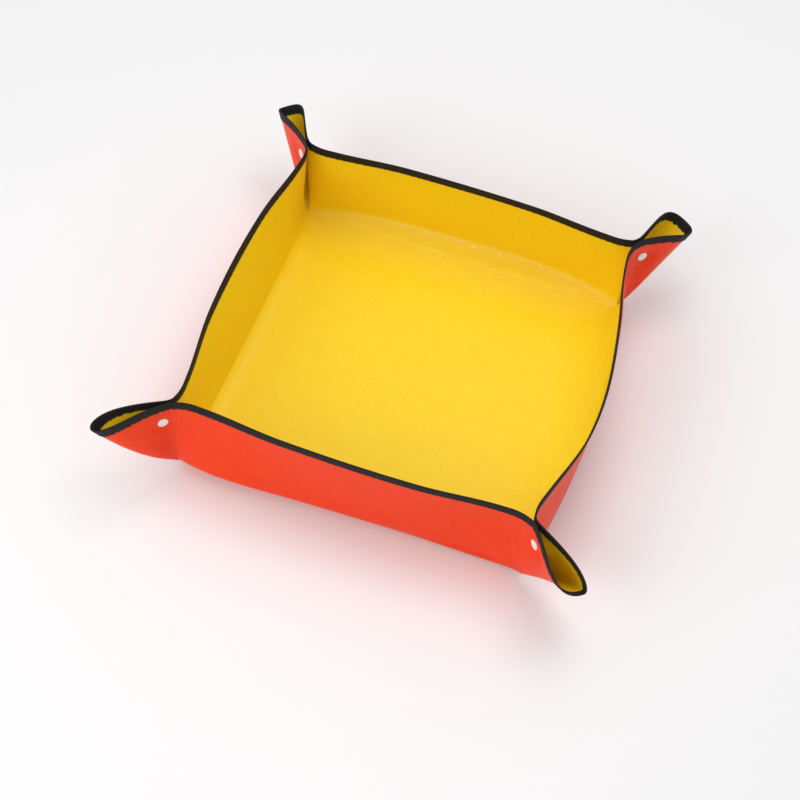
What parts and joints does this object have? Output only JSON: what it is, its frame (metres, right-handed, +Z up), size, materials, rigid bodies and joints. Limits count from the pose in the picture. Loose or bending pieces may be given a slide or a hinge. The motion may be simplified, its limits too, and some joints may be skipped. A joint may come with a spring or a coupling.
{
  "type": "potting soil tray",
  "caption": "Foldable square repotting tray of laminated sheet with a bound edge; its corners are pinched into open ears by press snaps, and unsnapped it lies flat.",
  "frame": {"origin": "centre of the floor's underside, on the surface the tray stands on", "axes": "+Z up out of the tray, -Y to the front wall, +X to the right wall"},
  "size_m": [0.5642, 0.5642, 0.1374],
  "materials": {
    "lining": "warm yellow laminated polyethylene film with a fine woven grain, satin",
    "cover": "orange-red laminated polyethylene film with a fine woven grain, satin",
    "binding": "black woven binding tape, dull",
    "snap": "white acetal, smooth"
  },
  "bodies": {
    "floor": {"floor_lining": "lining", "floor_cover": "cover"},
    "front_wall": {"front_wall_lining": "lining", "front_wall_cover": "cover", "front_wall_binding": "binding"},
    "front_right_ear": {"front_right_ear_lining": "lining", "front_right_ear_cover": "cover", "front_right_ear_binding": "binding", "front_right_snap_cap": "snap", "front_right_snap_stud": "snap"},
    "front_left_ear": {"front_left_ear_lining": "lining", "front_left_ear_cover": "cover", "front_left_ear_binding": "binding", "front_left_snap_cap": "snap", "front_left_snap_socket": "snap"},
    "right_wall": {"right_wall_lining": "lining", "right_wall_cover": "cover", "right_wall_binding": "binding"},
    "right_right_ear": {"right_right_ear_lining": "lining", "right_right_ear_cover": "cover", "right_right_ear_binding": "binding", "right_right_snap_cap": "snap", "right_right_snap_stud": "snap"},
    "right_left_ear": {"right_left_ear_lining": "lining", "right_left_ear_cover": "cover", "right_left_ear_binding": "binding", "right_left_snap_cap": "snap", "right_left_snap_socket": "snap"},
    "back_wall": {"back_wall_lining": "lining", "back_wall_cover": "cover", "back_wall_binding": "binding"},
    "back_right_ear": {"back_right_ear_lining": "lining", "back_right_ear_cover": "cover", "back_right_ear_binding": "binding", "back_right_snap_cap": "snap", "back_right_snap_stud": "snap"},
    "back_left_ear": {"back_left_ear_lining": "lining", "back_left_ear_cover": "cover", "back_left_ear_binding": "binding", "back_left_snap_cap": "snap", "back_left_snap_socket": "snap"},
    "left_wall": {"left_wall_lining": "lining", "left_wall_cover": "cover", "left_wall_binding": "binding"},
    "left_right_ear": {"left_right_ear_lining": "lining", "left_right_ear_cover": "cover", "left_right_ear_binding": "binding", "left_right_snap_cap": "snap", "left_right_snap_stud": "snap"},
    "left_left_ear": {"left_left_ear_lining": "lining", "left_left_ear_cover": "cover", "left_left_ear_binding": "binding", "left_left_snap_cap": "snap", "left_left_snap_socket": "snap"}
  },
  "joints": [
    {"name": "front_wall_fold", "type": "hinge", "parent": "floor", "child": "front_wall", "pos_m": [0, -0.20597, 0.00733], "axis": [1, 0, 0], "range_deg": [0, 90]},
    {"name": "front_right_ear_fold", "type": "hinge", "parent": "front_wall", "child": "front_right_ear", "pos_m": [0.21003, -0.213, 0.01139], "axis": [0, 0, 1], "range_deg": [0, 45]},
    {"name": "front_left_ear_fold", "type": "hinge", "parent": "front_wall", "child": "front_left_ear", "pos_m": [-0.21003, -0.213, 0.01139], "axis": [0, 0, -1], "range_deg": [0, 45]},
    {"name": "right_wall_fold", "type": "hinge", "parent": "floor", "child": "right_wall", "pos_m": [0.20597, 0, 0.00733], "axis": [0, 1, 0], "range_deg": [0, 90]},
    {"name": "right_right_ear_fold", "type": "hinge", "parent": "right_wall", "child": "right_right_ear", "pos_m": [0.213, 0.21003, 0.01139], "axis": [0, 0, 1], "range_deg": [0, 45]},
    {"name": "right_left_ear_fold", "type": "hinge", "parent": "right_wall", "child": "right_left_ear", "pos_m": [0.213, -0.21003, 0.01139], "axis": [0, 0, -1], "range_deg": [0, 45]},
    {"name": "back_wall_fold", "type": "hinge", "parent": "floor", "child": "back_wall", "pos_m": [0, 0.20597, 0.00733], "axis": [-1, 0, 0], "range_deg": [0, 90]},
    {"name": "back_right_ear_fold", "type": "hinge", "parent": "back_wall", "child": "back_right_ear", "pos_m": [-0.21003, 0.213, 0.01139], "axis": [0, 0, 1], "range_deg": [0, 45]},
    {"name": "back_left_ear_fold", "type": "hinge", "parent": "back_wall", "child": "back_left_ear", "pos_m": [0.21003, 0.213, 0.01139], "axis": [0, 0, -1], "range_deg": [0, 45]},
    {"name": "left_wall_fold", "type": "hinge", "parent": "floor", "child": "left_wall", "pos_m": [-0.20597, 0, 0.00733], "axis": [0, -1, 0], "range_deg": [0, 90]},
    {"name": "left_right_ear_fold", "type": "hinge", "parent": "left_wall", "child": "left_right_ear", "pos_m": [-0.213, -0.21003, 0.01139], "axis": [0, 0, 1], "range_deg": [0, 45]},
    {"name": "left_left_ear_fold", "type": "hinge", "parent": "left_wall", "child": "left_left_ear", "pos_m": [-0.213, 0.21003, 0.01139], "axis": [0, 0, -1], "range_deg": [0, 45]}
  ],
  "couplings": [
    {"joint": "front_right_ear_fold", "follows": "front_wall_fold", "ratio": 0.5},
    {"joint": "front_left_ear_fold", "follows": "front_wall_fold", "ratio": 0.5},
    {"joint": "right_wall_fold", "follows": "front_wall_fold", "ratio": 1},
    {"joint": "right_right_ear_fold", "follows": "front_wall_fold", "ratio": 0.5},
    {"joint": "right_left_ear_fold", "follows": "front_wall_fold", "ratio": 0.5},
    {"joint": "back_wall_fold", "follows": "front_wall_fold", "ratio": 1},
    {"joint": "back_right_ear_fold", "follows": "front_wall_fold", "ratio": 0.5},
    {"joint": "back_left_ear_fold", "follows": "front_wall_fold", "ratio": 0.5},
    {"joint": "left_wall_fold", "follows": "front_wall_fold", "ratio": 1},
    {"joint": "left_right_ear_fold", "follows": "front_wall_fold", "ratio": 0.5},
    {"joint": "left_left_ear_fold", "follows": "front_wall_fold", "ratio": 0.5}
  ]
}
